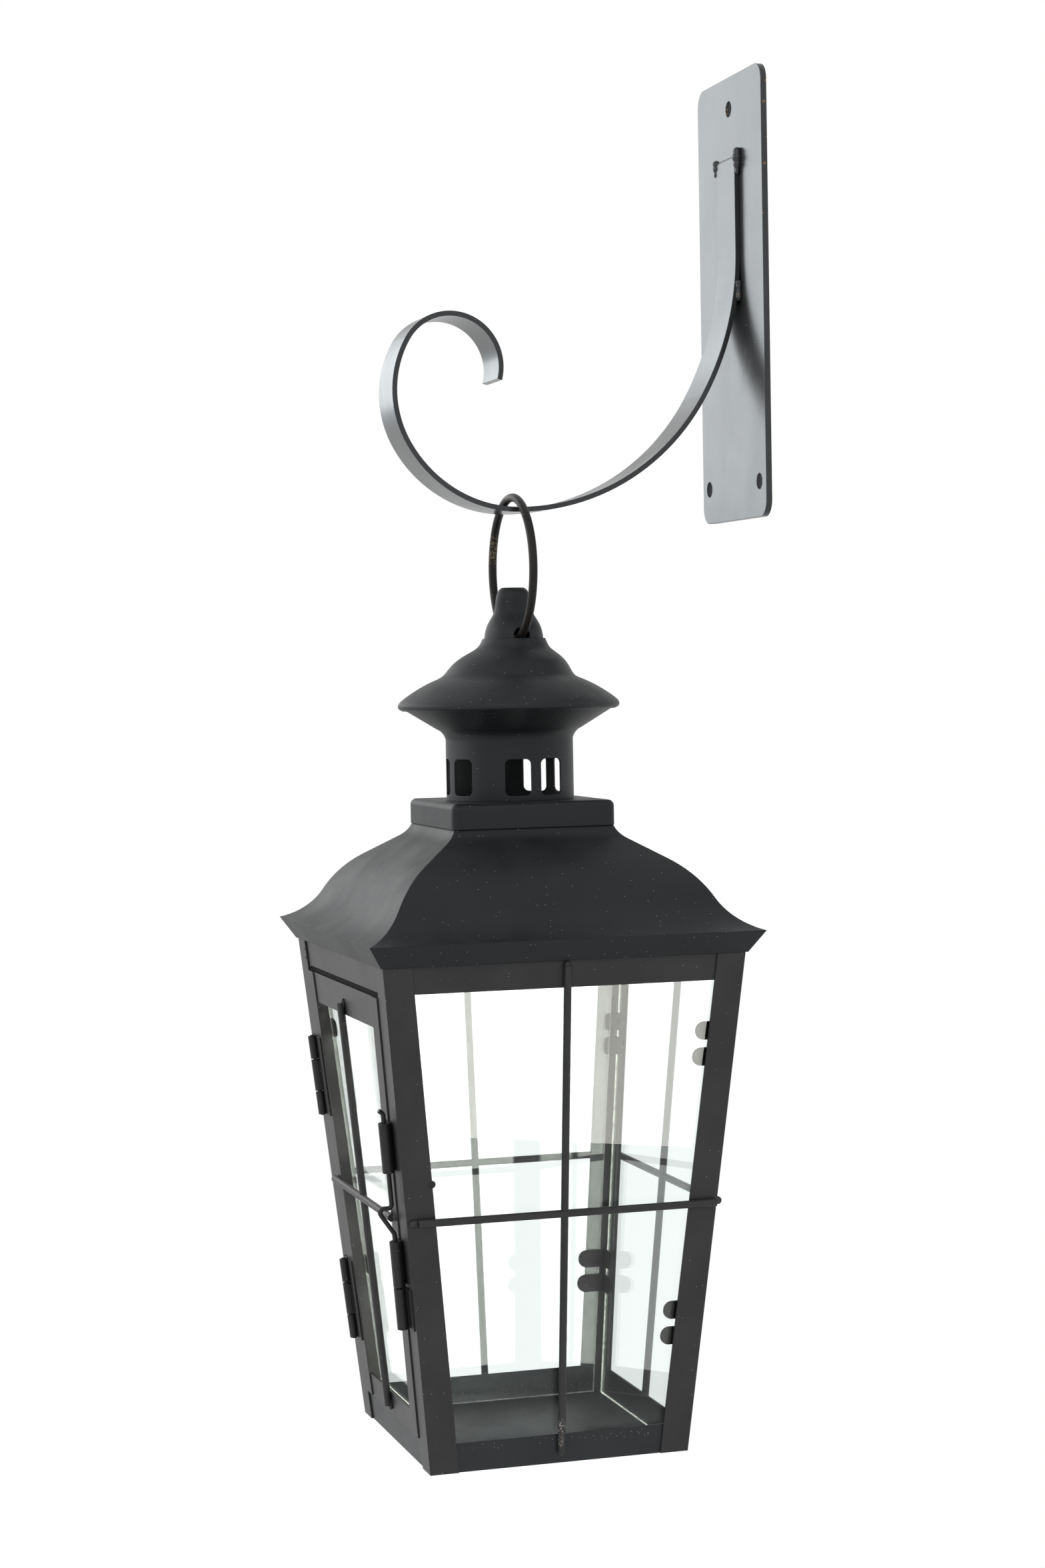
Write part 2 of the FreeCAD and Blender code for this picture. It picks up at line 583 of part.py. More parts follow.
def crown():
    shell = cut("crown_shell",
                rounded_box("crown_outer", "size.crown_half", "size.crown_low", "size.crown_top",
                            "size.crown_round"),
                rounded_box("crown_inner", "size.crown_half - size.gauge", "size.crown_low - size.gauge",
                            "size.crown_top - size.gauge", "size.crown_round - size.gauge"))
    flue = make("Part::Cylinder", "crown_flue", Radius="size.chimney_radius - size.gauge",
                Height="size.crown_top")
    hang(flue, z="size.crown_low")
    ring = cut("crown_ring", shell, flue)
    return finish(cut("crown", ring, doc.getObject("roof")), "crown")


def posts():
    places = {"front_left": (-1, -1), "front_right": (1, -1), "back_left": (-1, 1), "back_right": (1, 1)}
    for name, (sx, sy) in places.items():
        skin = slab(f"{name}_skin", between(sx, "0", "size.post_leg"), between(sy, "0", "size.post_leg"),
                    "0", "size.body_height")
        deep = "size.post_leg + size.gauge"
        core = slab(f"{name}_core", between(sx, "size.gauge", deep), between(sy, "size.gauge", deep),
                    "-size.gauge", "size.body_height + size.gauge")
        finish(cut(f"{name}_post", skin, core), f"post_{name}")


def top_rails():
    depth = ("size.gauge", "2 * size.gauge")
    low, high = "size.opening_top", "size.body_height"
    for name, sign in (("left", -1), ("right", 1)):
        finish(slab(f"rail_{name}", between(sign, *depth), across(depth[1]), low, high), f"top_rail_{name}")
    finish(slab("rail_back", across(depth[0]), between(1, *depth), low, high), "top_rail_back")
    front = slab("rail_front", across(depth[0]), between(-1, *depth), low, high)
    finish(fuse("stopped_rail", [front, door_stop()]), "top_rail_front")


def door_stop():
    """The lip on the front rail that the door's top shuts against."""
    near = "size.door_sheet + size.stop_gap"
    return slab("stop_lip", across("size.post_leg"), between(-1, near, f"{near} + size.gauge"),
                "size.door_high - size.stop_drop", "size.opening_top + size.gauge")


def base_tray():
    outer = slab("tray_outer", across("size.gauge"), across("size.gauge"), "0", "size.tray_wall")
    inner = slab("tray_inner", across("2 * size.gauge"), across("2 * size.gauge"), "size.gauge",
                 "size.tray_wall + size.gauge")
    return finish(cut("tray", outer, inner), "base_tray")


def panes():
    depth = ("size.pane_in", "size.pane_back")
    edge = across("size.post_leg - size.pane_lap")
    low, high = "size.gauge + size.pane_play", "size.opening_top + size.pane_lap"
    for name, sign in (("left", -1), ("right", 1)):
        finish(slab(f"glass_{name}", between(sign, *depth), edge, low, high), f"pane_{name}")
    finish(slab("glass_back", edge, between(1, *depth), low, high), "pane_back")


def tongue(name, x_span, y_span, low, high):
    """A tab whose free end, the one nearer the middle of the body, is half round."""
    block = slab(f"{name}_block", x_span, y_span, low, high)
    block.recompute()
    middle = Vector(0, value("size.body_y"), 0)
    ends = []
    for index, edge in enumerate(block.Shape.Edges, start=1):
        if edge.Length < 2 * value("size.gauge"):
            away = edge.CenterOfMass - middle
            ends.append((math.hypot(away.x, away.y), index))
    rounding = doc.addObject("Part::Fillet", name)
    rounding.Base = block
    radius = value("size.tab_corner")
    rounding.Edges = [(index, radius, radius) for away, index in sorted(ends)[:2]]
    return rounding


def clip(name, across_x, sign, end, depth, edge, rises):
    """Bent clip: a stem beside the glass, and tabs that hold the glass from behind.

    depth runs from the sheet that carries it to behind the glass, edge gives the opening's edge and the lap.
    """
    carrier, glass_back = depth
    opening, lap = edge
    stem = [f"{opening} - {lap} - size.clip_play - size.gauge", f"{opening} - {lap} - size.clip_play"]
    behind = [f"{glass_back} + size.pane_play", f"{glass_back} + size.pane_play + size.gauge"]
    low, high = f"{rises[0]} - size.tab_tall / 2", f"{rises[-1]} + size.tab_tall / 2"
    spans = [between(sign, carrier, behind[1]), between(end, *stem)]
    bits = [slab(f"{name}_stem", *(spans if across_x else spans[::-1]), low, high)]
    spans = [between(sign, *behind), between(end, stem[0], f"{opening} + size.tab_reach")]
    for index, rise in enumerate(rises):
        bits.append(tongue(f"{name}_tab_{index}", *(spans if across_x else spans[::-1]),
                           f"{rise} - size.tab_tall / 2", f"{rise} + size.tab_tall / 2"))
    return fuse(name, bits)


def glass_clips():
    """Pairs of tabs at the ends of the panes; the left pane has a low pair only."""
    places = [("left", True, -1, 1, "clip_low"), ("right", True, 1, 1, "clip_low"),
              ("right", True, 1, 1, "clip_high")]
    places += [("back", False, 1, end, level) for end in (-1, 1) for level in ("clip_low", "back_clip_high")]
    depth, edge = ("size.gauge", "size.pane_back"), ("size.post_leg", "size.pane_lap")
    clips = []
    for face, across_x, sign, end, level in places:
        rises = [f"size.{level} {mark} size.tab_pitch / 2" for mark in "-+"]
        name = f"{face}_{level}_{'a' if end < 0 else 'b'}"
        clips.append(clip(name, across_x, sign, end, depth, edge, rises))
    return finish(group("clips", clips), "glass_clips")


def leaning_rod(name, out, low, high, face):
    """Upright rod on a face, its axis clear of the body's face by out."""
    rod = make("Part::Cylinder", name, Radius="size.rod", Height=f"(({high}) - ({low})) * size.face_stretch")
    away = f"{half(low)} + ({out})"
    x_sign, y_sign = face
    hang(rod, f"{x_sign} * ({away})", f"{y_sign} * ({away})", low)
    return turn(rod, (-y_sign, x_sign, 0), "size.face_lean")


def level_rod(name, out, height, reach, face, shift="0"):
    """Level rod across a face, its axis clear of the body's face by out, off the middle by shift."""
    rod = make("Part::Cylinder", name, Radius="size.rod", Height=f"2 * ({reach})")
    away = f"{half(height)} + ({out})"
    x_sign, y_sign = face
    hang(rod, f"{x_sign} * ({away}) - {abs(y_sign)} * ({reach})",
         f"{y_sign} * ({away}) + {abs(x_sign)} * ({reach} + {shift})", height)
    rod.Placement.Rotation = Rotation(Vector(abs(x_sign), abs(y_sign), 0), 90)
    return rod


def muntins():
    reach = f"{half('size.rod_height')} - size.rod_inset"
    for name, face in (("left", (-1, 0)), ("right", (1, 0)), ("back", (0, 1))):
        rods = [leaning_rod(f"upright_{name}", "size.rod_seat - size.gauge", "size.rod_low",
                            "size.body_height - size.rod_top_gap", face),
                level_rod(f"level_{name}", "size.rod_seat", "size.rod_height", reach, face,
                          "size.rod_shift" if name == "right" else "0")]
        finish(fuse(f"cross_{name}", rods), f"muntin_{name}")
    reach = f"{half('size.rod_height')} - size.door_edge - size.door_rod_inset"
    rods = [leaning_rod("upright_door", "size.rod_seat", "size.door_low + size.door_rod_low",
                        "size.door_high - size.door_rod_high", (0, -1)),
            level_rod("level_door", "size.rod_seat + size.stile_proud", "size.rod_height", reach, (0, -1))]
    return finish(fuse("cross_door", rods), "door_muntin")


def door_frame():
    """Angle stiles whose return stands in front of the glass, and flat rails between them."""
    pane_low = "size.door_low + size.door_low_rail - size.door_lap"
    pane_high = "size.door_high - size.door_top_rail + size.door_lap"
    for name, sign in (("hinge", -1), ("latch", 1)):
        face = slab(f"{name}_face", between(sign, "size.door_edge", "size.stile_edge"),
                    between(-1, "-size.stile_proud", "size.stile_back"), "size.door_low", "size.door_high")
        flange = slab(f"{name}_return", between(sign, "size.stile_edge - size.gauge", "size.stile_edge"),
                      between(-1, "0", "size.return_back"), pane_low, pane_high)
        finish(fuse(f"stile_{name}", [face, flange]), f"door_{name}_stile")
    rail_depth = between(-1, "0", "size.door_sheet")
    levels = {"top": ("size.door_high - size.door_top_rail", "size.door_high"),
              "bottom": ("size.door_low", "size.door_low + size.door_low_rail")}
    for name, (low, high) in levels.items():
        finish(slab(f"door_rail_{name}", across("size.stile_edge"), rail_depth, low, high),
               f"door_{name}_rail")
    finish(slab("door_pane", across("size.stile_edge - size.door_lap"),
                between(-1, "size.door_glass_in", "size.door_glass_back"), pane_low, pane_high), "door_glass")


def door_glass_tabs():
    tabs = []
    depth, edge = ("size.stile_back", "size.door_glass_back"), ("size.stile_edge", "size.door_lap")
    for level in ("door_clip_low", "clip_high"):
        for end in (-1, 1):
            name = f"door_{level}_{'a' if end < 0 else 'b'}"
            tabs.append(clip(name, False, -1, end, depth, edge, [f"size.{level}"]))
    return finish(group("door_tabs", tabs), "door_glass_tabs")


def leafed_barrels(name, sign, axis, spans, radius, bore, leaf_span, leaf, root):
    """Barrels standing on a flat leaf: axis, leaf and root give insets from the corner and depths."""
    inset, out = axis
    bars, holes = [], []
    edges, depth = leaf
    bars.append(slab(f"{name}_leaf", between(sign, *edges), between(-1, *depth), *leaf_span))
    for index, (low, high) in enumerate(spans):
        bars.append(along_corner(f"{name}_barrel_{index}", sign, inset, out, low, high, radius))
        bars.append(slab(f"{name}_root_{index}", between(sign, *root), between(-1, f"-({out})", depth[1]),
                         f"{low} + size.hinge_slit", f"{high} - size.hinge_slit"))
        holes.append(along_corner(f"{name}_bore_{index}", sign, inset, out, f"{low} - size.leaf_width",
                                  f"{high} + size.leaf_width", bore))
    return cut(name, fuse(f"{name}_metal", bars), group(f"{name}_bores", holes))


POST_FACE = ("-size.leaf", "0")
DOOR_FACE = ("-(size.stile_proud + size.leaf)", "-size.stile_proud")


def hinges():
    bore = "size.hinge_pin + size.running_gap"
    axis = ("size.hinge_inset", "size.hinge_out")
    clear = "size.hinge_barrel + size.barrel_gap"
    post_root = (f"size.hinge_inset - ({clear}) - size.leaf", "size.post_leg")
    post_leaf = (("size.hinge_inset - size.leaf_width", f"size.hinge_inset - ({clear})"), POST_FACE)
    door_root = ("size.door_edge", f"size.hinge_inset + {clear} + size.leaf")
    door_leaf = ((f"size.hinge_inset + {clear}", "size.hinge_inset + size.leaf_width"), DOOR_FACE)
    for level in ("upper", "lower"):
        start = f"size.{level}_hinge"
        first = (start, f"{start} + size.hinge_end")
        middle = (f"{first[1]} + size.hinge_slit", f"{first[1]} + size.hinge_slit + size.hinge_middle")
        last = (f"{middle[1]} + size.hinge_slit", f"{middle[1]} + size.hinge_slit + size.hinge_end")
        finish(leafed_barrels(f"{level}_post_leaf", -1, axis, [first, last], "size.hinge_barrel", bore,
                              (start, last[1]), post_leaf, post_root), f"{level}_hinge_post_leaf")
        finish(leafed_barrels(f"{level}_door_leaf", -1, axis, [middle], "size.hinge_barrel", bore,
                              (start, last[1]), door_leaf, door_root), f"{level}_hinge_door_leaf")
        finish(along_corner(f"{level}_pin", -1, *axis, f"{start} - size.hinge_slit",
                            f"{last[1]} + size.hinge_slit", "size.hinge_pin"), f"{level}_hinge_pin")


def latch():
    bore = "size.bolt + size.running_gap"
    axis = ("size.latch_inset", "size.latch_out")
    door_root = ("size.latch_inset", "size.door_edge")
    door_leaf = (("size.latch_inset", "size.door_edge + size.latch_leaf"), DOOR_FACE)
    for level in ("upper", "lower"):
        span = (f"size.{level}_barrel_low", f"size.{level}_barrel_high")
        finish(leafed_barrels(f"{level}_barrel", 1, axis, [span], "size.latch_barrel", bore, span, door_leaf,
                              door_root), f"latch_{level}_barrel")
    post_root = ("size.latch_inset - size.latch_barrel / 2", "size.latch_inset + size.latch_barrel / 2")
    post_leaf = (("size.latch_inset - size.latch_leaf", "size.latch_inset + size.latch_barrel"), POST_FACE)
    span = ("size.keeper_low", "size.lower_barrel_low - size.latch_slit")
    finish(leafed_barrels("keeper", 1, axis, [span], "size.latch_barrel", bore, span, post_leaf, post_root),
           "latch_keeper")


def rounded_path(points, radius):
    """Straight runs joined by tangent arcs of one radius."""
    edges, last = [], points[0]
    for before, corner, after in zip(points, points[1:], points[2:]):
        back, on = (before - corner).normalize(), (after - corner).normalize()
        half_angle = back.getAngle(on) / 2
        reach = radius / math.tan(half_angle)
        inward = (back + on).normalize() * (radius / math.sin(half_angle) - radius)
        start, stop = corner + back * reach, corner + on * reach
        edges += [Part.LineSegment(last, start).toShape(), Part.Arc(start, corner + inward, stop).toShape()]
        last = stop
    return Part.Wire(edges + [Part.LineSegment(last, points[-1]).toShape()])


def latch_bolt():
    """Bent wire: straight through the barrels, cranked out into a thumb loop, nib at the top."""
    stretch = value("size.corner_stretch")
    low, high = (value(f"size.{name} - size.bolt_tip") * stretch for name in ("loop_low", "loop_high"))
    top = value("size.upper_barrel_high + size.nib_rise - size.bolt_tip") * stretch
    reach, dip, nib = (value(f"size.{name}") for name in ("loop_reach", "loop_dip", "nib_reach"))
    points = [Vector(0, 0, 0), Vector(0, 0, low), Vector(0, -reach, high), Vector(0, 0, high - dip),
              Vector(0, 0, top), Vector(0, -nib, top + nib)]
    path = rounded_path(points, value("size.loop_bend"))
    ring = Part.Wire(Part.makeCircle(value("size.bolt"), points[0], Vector(0, 0, 1)))
    wire = doc.addObject("Part::Feature", "bolt_wire")
    wire.Shape = path.makePipeShell([ring], True, False)
    foot = half("size.bolt_tip")
    hang(wire, f"{foot} - size.latch_inset", f"-({foot} + size.latch_out)", "size.bolt_tip")
    turn(wire, (1, 1, 0), "size.corner_lean")
    return finish(wire, "latch_bolt")


for build in (wall_plate, scroll_arm, weld_beads, hanging_ring, hanger_knob, cap_dome, chimney, roof, crown,
              posts, top_rails, base_tray, panes, glass_clips, muntins, door_frame, door_glass_tabs, hinges,
              latch, latch_bolt):
    build()
doc.recompute()

faults = [obj.Name for obj in doc.Objects if "Invalid" in obj.State or "Error" in obj.State]
faults += [obj.Label for obj in finished if obj.Shape.isNull() or not obj.Shape.isValid()]
faults += [obj.Label for obj in finished if not obj.Shape.Solids]
if faults:
    raise RuntimeError(f"These pieces failed: {faults}")
os.makedirs("parts", exist_ok=True)
for obj in finished:
    obj.Shape.exportStep(f"parts/{obj.Label}.step")
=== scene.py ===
"""Looks of the candle lantern: paint, glass, small made details, studio and camera."""
import json
import math

import bpy
from mathutils import Matrix, Vector


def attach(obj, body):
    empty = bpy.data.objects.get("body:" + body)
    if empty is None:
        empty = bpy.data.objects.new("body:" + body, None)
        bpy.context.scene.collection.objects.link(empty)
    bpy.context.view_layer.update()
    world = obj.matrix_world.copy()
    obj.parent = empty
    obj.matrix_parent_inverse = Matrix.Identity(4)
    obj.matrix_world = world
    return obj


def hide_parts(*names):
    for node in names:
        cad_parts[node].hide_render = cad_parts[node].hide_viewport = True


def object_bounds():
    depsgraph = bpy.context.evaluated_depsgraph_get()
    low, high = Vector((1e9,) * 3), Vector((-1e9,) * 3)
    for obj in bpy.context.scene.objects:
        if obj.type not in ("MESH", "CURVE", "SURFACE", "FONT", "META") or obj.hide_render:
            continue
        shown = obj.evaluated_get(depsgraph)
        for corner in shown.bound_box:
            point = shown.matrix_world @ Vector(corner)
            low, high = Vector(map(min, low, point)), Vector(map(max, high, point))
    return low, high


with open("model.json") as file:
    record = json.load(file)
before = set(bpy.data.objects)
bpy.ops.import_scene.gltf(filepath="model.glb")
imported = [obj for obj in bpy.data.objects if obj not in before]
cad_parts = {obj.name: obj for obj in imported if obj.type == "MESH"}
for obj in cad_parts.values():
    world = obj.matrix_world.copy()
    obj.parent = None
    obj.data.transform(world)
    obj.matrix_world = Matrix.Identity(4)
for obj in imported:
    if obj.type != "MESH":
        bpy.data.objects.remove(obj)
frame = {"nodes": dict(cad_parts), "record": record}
cad_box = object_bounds()
NODES = frame["nodes"]

MM = 0.001
SAME_LEVEL = 0.01 * MM


def level(name, pick):
    """The least and most corner of a node at its lowest level (pick is min) or its highest (max)."""
    points = [vertex.co for vertex in NODES[name].data.vertices]
    height = pick(point.z for point in points)
    there = [point for point in points if abs(point.z - height) < SAME_LEVEL]
    return Vector([min(axis) for axis in zip(*there)]), Vector([max(axis) for axis in zip(*there)])


# The lantern's own frame: its underside, its tapered faces, its axis and the levels that pieces stand on
foot_least, foot_most = level("post_front_right", min)
top_most = level("post_front_right", max)[1]
knob_least, knob_most = level("hanger_knob", max)
BASE_Z = foot_least.z
BASE_HALF = foot_most.x
LEAN = (top_most.x - foot_most.x) / (top_most.z - foot_most.z)
AXIS_Y = foot_least.y + BASE_HALF
KNOB_SHIFT = (knob_least.y + knob_most.y) / 2 - AXIS_Y
RIM_Z = level("cap_dome", min)[0].z
RAIL_FOOT_Z = level("top_rail_back", min)[0].z
STRIP_TOP = level("scroll_arm", max)[1]
ROD_HEIGHT = 0.1012

# Colours of light
NEUTRAL = (1.0, 1.0, 1.0)
CREAM = (1.0, 0.99, 0.92)
SKY = (0.62, 0.87, 1.0)

# Colours of surfaces
WHITE = (1.0, 1.0, 1.0, 1.0)
BLACK = (0.0, 0.0, 0.0, 1.0)
BLUISH = (0.9, 0.96, 1.0, 1.0)
GREENISH = (0.955, 0.985, 0.975, 1.0)
# A painted highlight: the greenish glow given to the edges of the glass
PAINTED_EDGE_GLOW = (0.72, 0.76, 0.66, 1.0)
BARE = (0.34, 0.33, 0.31, 1.0)
BRONZE = (0.20, 0.155, 0.105, 1.0)
RUST = (0.25, 0.12, 0.04, 1.0)

# Worn places, each with its reach and what shows there
SCRATCH_START = Vector((0.05400, -0.14090, -0.45830))
SCRATCH_STEP = Vector((0.00013, 0.0011, 0.00128))
SCRATCH = [(SCRATCH_START + step * SCRATCH_STEP, 0.0009, BARE) for step in range(5)]
ROD_FOOT = [((0.0579, -0.1043, -0.4500), 0.0045, BARE), ((0.0574, -0.1042, -0.4560), 0.0035, BARE)]
RING_RUB = [((0.0, -0.0995, -0.0835), 0.006, BRONZE), ((-0.0268, -0.0995, -0.1018), 0.009, BRONZE)]

# The colour sockets of a Mix node, which share their names with its other kinds
MIX_SHARE, MIX_FIRST, MIX_SECOND, MIX_COLOUR = 0, 6, 7, 2

# Studio
FLOOR_DROP = 0.85
FLOOR_SIDE = 30
FLOOR_TONE = 0.8
AROUND_LEVEL = 0.62


class Field:
    """One output of some nodes; the usual operators add Math nodes."""

    def __init__(self, nodes, socket):
        self.nodes = nodes
        self.socket = socket

    def math(self, operation, *inputs):
        return self.nodes.add("ShaderNodeMath", {"operation": operation}, dict(enumerate(inputs)))

    def __add__(self, other):
        return self.math("ADD", self, other)

    def __radd__(self, other):
        return self.math("ADD", other, self)

    def __sub__(self, other):
        return self.math("SUBTRACT", self, other)

    def __rsub__(self, other):
        return self.math("SUBTRACT", other, self)

    def __mul__(self, other):
        return self.math("MULTIPLY", self, other)

    def __rmul__(self, other):
        return self.math("MULTIPLY", other, self)

    def __lt__(self, other):
        return self.math("LESS_THAN", self, other)

    def __or__(self, other):
        return self.math("MAXIMUM", self, other)

    def __abs__(self):
        return self.math("ABSOLUTE", self)

    def at_most(self, limit):
        return self.math("MINIMUM", self, limit)

    def smooth(self, low, high):
        """0 below low, 1 above high, eased between."""
        return self.nodes.add("ShaderNodeMapRange", {"interpolation_type": "SMOOTHSTEP"},
                              {"Value": self, "From Min": low, "From Max": high})

    def fade(self, low, high):
        """1 below low, 0 above high, eased between."""
        return 1 - self.smooth(low, high)


class Nodes:
    """The nodes of a material or a world, written one by one."""

    def __init__(self, owner):
        owner.use_nodes = True
        self.tree = owner.node_tree
        self.tree.nodes.clear()

    def add(self, kind, settings=None, sockets=None, output=0):
        """Adds a node: its settings first, then the values or links of its sockets."""
        node = self.tree.nodes.new(kind)
        for name, setting in (settings or {}).items():
            setattr(node, name, setting)
        for name, given in (sockets or {}).items():
            if isinstance(given, Field):
                self.tree.links.new(given.socket, node.inputs[name])
            else:
                node.inputs[name].default_value = given
        return Field(self, node.outputs[output]) if node.outputs else None

    def blend(self, share, first, second):
        """A colour between two, by share."""
        return self.add("ShaderNodeMix", {"data_type": "RGBA"},
                        {MIX_SHARE: share, MIX_FIRST: first, MIX_SECOND: second}, MIX_COLOUR)

    def white_seen(self):
        """1 to the camera, in reflections and through glass, 0 to other light."""
        camera_ray = self.add("ShaderNodeLightPath", output="Is Camera Ray")
        mirrored = self.add("ShaderNodeLightPath", output="Is Glossy Ray")
        through_glass = self.add("ShaderNodeLightPath", output="Is Transmission Ray")
        return camera_ray | mirrored | through_glass


class Finish(Nodes):
    """The nodes of one paint or glass."""

    def __init__(self, name):
        self.material = bpy.data.materials.new(name)
        super().__init__(self.material)

    def place(self, axis=None):
        """Where a point is on the object, in metres, or one axis of it."""
        point = self.add("ShaderNodeTexCoord", output="Object")
        if axis is None:
            return point
        return self.add("ShaderNodeSeparateXYZ", sockets={"Vector": point}, output=axis)

    def facing(self, axis):
        """How far the surface looks along an axis, from -1 to 1."""
        normal = self.add("ShaderNodeNewGeometry", output="Normal")
        return self.add("ShaderNodeSeparateXYZ", sockets={"Vector": normal}, output=axis)

    def noise(self, scale, detail, roughness=0.55, stretch=None):
        """Cloudy values about a half; scale is in lumps a metre."""
        point = self.place()
        if stretch:
            point = self.add("ShaderNodeMapping", sockets={"Vector": point, "Scale": stretch})
        return self.add("ShaderNodeTexNoise", sockets={"Vector": point, "Scale": scale, "Detail": detail,
                                                       "Roughness": roughness}, output="Fac")

    def specks(self, scale, size, share):
        """Scattered round specks: size is in cells, share is how many cells hold one."""
        cells = {"Vector": self.place(), "Scale": scale}
        apart = self.add("ShaderNodeTexVoronoi", sockets=cells, output="Distance")
        chance = self.add("ShaderNodeTexVoronoi", sockets=cells, output="Color")
        chance = self.add("ShaderNodeSeparateColor", sockets={"Color": chance}, output="Red")
        return apart.fade(0.6 * size, size) * (chance < share)

    def near(self, point, inner, outer):
        """1 within inner of a point, 0 beyond outer."""
        away = self.add("ShaderNodeVectorMath", {"operation": "DISTANCE"},
                        {0: self.place(), 1: point}, output="Value")
        return away.fade(inner, outer)

    def edge_normal(self, radius):
        """The surface's own direction, eased over its sharp edges."""
        return self.add("ShaderNodeBevel", {"samples": 4}, {"Radius": radius})

    def surface(self, **sockets):
        """Ends the finish with one shader; underscores stand for spaces."""
        named = {name.replace("_", " "): given for name, given in sockets.items()}
        shader = self.add("ShaderNodeBsdfPrincipled", sockets=named)
        self.add("ShaderNodeOutputMaterial", sockets={"Surface": shader})
        return self.material


def grey(tone, warm=0.0):
    return (tone * (1 + warm), tone, tone * (1 - warm), 1.0)


def satin_paint(name, tone, rough, shine=0.36, dust_share=0.05, warm=0.0, edge=0.0005, sheen=WHITE,
                scuffs=(), primer=0.0, shade_below=None, grit=0.16, varnish=0.0):
    """Thin satin black over sheet metal: cloudy gloss, fine grain, pale dust, and marks of wear.

    scuffs are places worn to bare metal with their reach, primer is the share of rusty specks where the
    surface looks along X, shade_below is the height below which the surface is painted black as painted
    shade and made rough, grit is how rough the film feels, varnish how glazed it is.
    """
    finish = Finish(name)
    cloud = finish.noise(scale=38, detail=4)
    grain = finish.noise(scale=1400, detail=2)
    smear = finish.noise(scale=60, detail=5, stretch=(1.0, 1.0, 0.5))
    fine = finish.specks(scale=900, size=0.16, share=dust_share)
    coarse = finish.specks(scale=420, size=0.07, share=0.3 * dust_share)
    dust = (fine + coarse).at_most(1.0)
    upward = finish.facing("Z").smooth(0.25, 0.95)
    film = upward * finish.noise(scale=55, detail=5).smooth(0.35, 0.75) * 0.35
    base = finish.blend(cloud.smooth(0.3, 0.7), grey(0.8 * tone, warm), grey(1.25 * tone, warm))
    base = finish.blend(film, base, grey(3.2 * tone))
    base = finish.blend(dust * 0.75, base, grey(0.55, 0.03))
    for place, reach, bare in scuffs:
        worn = finish.near(place, 0.3 * reach, reach) * finish.noise(scale=1100, detail=3).smooth(0.46, 0.62)
        base = finish.blend(worn, base, bare)
    if primer:
        patches = finish.specks(scale=330, size=0.22, share=primer) * finish.facing("X").smooth(0.7, 0.9)
        base = finish.blend(patches, base, RUST)
    gloss = rough + (cloud - 0.5) * 0.16 + (smear - 0.5) * 0.1 + dust * 0.3 + film * 0.3
    if shade_below:
        # Painted shade: below that height the surface is painted black and made rough
        deep = finish.place("Z") < shade_below
        base = finish.blend(deep, base, BLACK)
        gloss = gloss + deep
    normal = finish.add("ShaderNodeBump", sockets={"Height": grain + dust * 0.6, "Strength": grit,
                                                   "Distance": 0.1 * MM, "Normal": finish.edge_normal(edge)})
    return finish.surface(Base_Color=base, Roughness=gloss, Normal=normal, IOR=1.5,
                          Specular_IOR_Level=shine, Specular_Tint=sheen, Coat_Weight=varnish,
                          Coat_Roughness=0.3)


def clear_glass(name, axis, painted_edge_light):
    """Window glass with a faint green body, wiped smears and a patchy painted glow on its edges; looks along
    axis.
    """
    finish = Finish(name)
    smear = finish.noise(scale=30, detail=6, roughness=0.65, stretch=(1.0, 1.0, 0.4))
    haze = smear.smooth(0.55, 0.85) * 0.03
    rim = abs(finish.facing(axis)).fade(0.3, 0.7)
    patches = finish.noise(scale=420, detail=3).smooth(0.3, 0.6)
    # Painted highlight: the edge faces glow greenish by emission, broken into patches along them
    painted_glow = finish.blend(painted_edge_light * rim * (0.35 + 0.65 * patches), BLACK, PAINTED_EDGE_GLOW)
    return finish.surface(Base_Color=GREENISH, Roughness=haze, IOR=1.28, Transmission_Weight=1.0,
                          Emission_Color=painted_glow, Emission_Strength=1.0)


def coat(material, *names):
    """Gives nodes one material."""
    for name in names:
        slots = NODES[name].data.materials
        slots.clear()
        slots.append(material)


lantern_paint = satin_paint("lantern_paint", 0.024, 0.46, scuffs=ROD_FOOT)
# The front top rail, painted black below the top rails' foot as a painted shadow over the door
shaded_rail_paint = satin_paint("shaded_rail_paint", 0.02, 0.46, shade_below=RAIL_FOOT_Z - 0.1 * MM)
tray_paint = satin_paint("tray_paint", 0.016, 0.46, dust_share=0.16, warm=-0.08, sheen=BLUISH, scuffs=SCRATCH,
                         grit=0.06)
roof_paint = satin_paint("roof_paint", 0.009, 0.54, shine=0.3, dust_share=0.06, warm=-0.08, varnish=0.05,
                         sheen=BLUISH)
bracket_paint = satin_paint("bracket_paint", 0.024, 0.24, shine=0.5, warm=-0.03, sheen=BLUISH, primer=0.12,
                            grit=0.04)
ring_paint = satin_paint("ring_paint", 0.012, 0.46, shine=0.2, warm=0.08, edge=0.0002, scuffs=RING_RUB)
fitting_paint = satin_paint("fitting_paint", 0.011, 0.5, edge=0.0002)
# The last number is how strong the painted glow on the glass edges is
side_glass = clear_glass("side_glass", "X", 0.2)
front_glass = clear_glass("front_glass", "Y", 0.9)

slot_finish = {"lantern_paint": lantern_paint, "bracket_paint": bracket_paint, "ring_paint": ring_paint,
               "fitting_paint": fitting_paint, "clear_glass": side_glass}
for part in frame["record"]["subparts"]:
    coat(slot_finish[part["material_slot"]], part["node"])
coat(roof_paint, "roof", "crown", "cap_dome", "chimney", "hanger_knob")
coat(front_glass, "pane_back", "door_glass")
coat(tray_paint, "base_tray")
coat(shaded_rail_paint, "top_rail_front")


def open_edit():
    """Turns to the mesh of the piece at hand, all of it selected."""
    bpy.ops.object.mode_set(mode="EDIT")
    bpy.ops.mesh.select_all(action="SELECT")


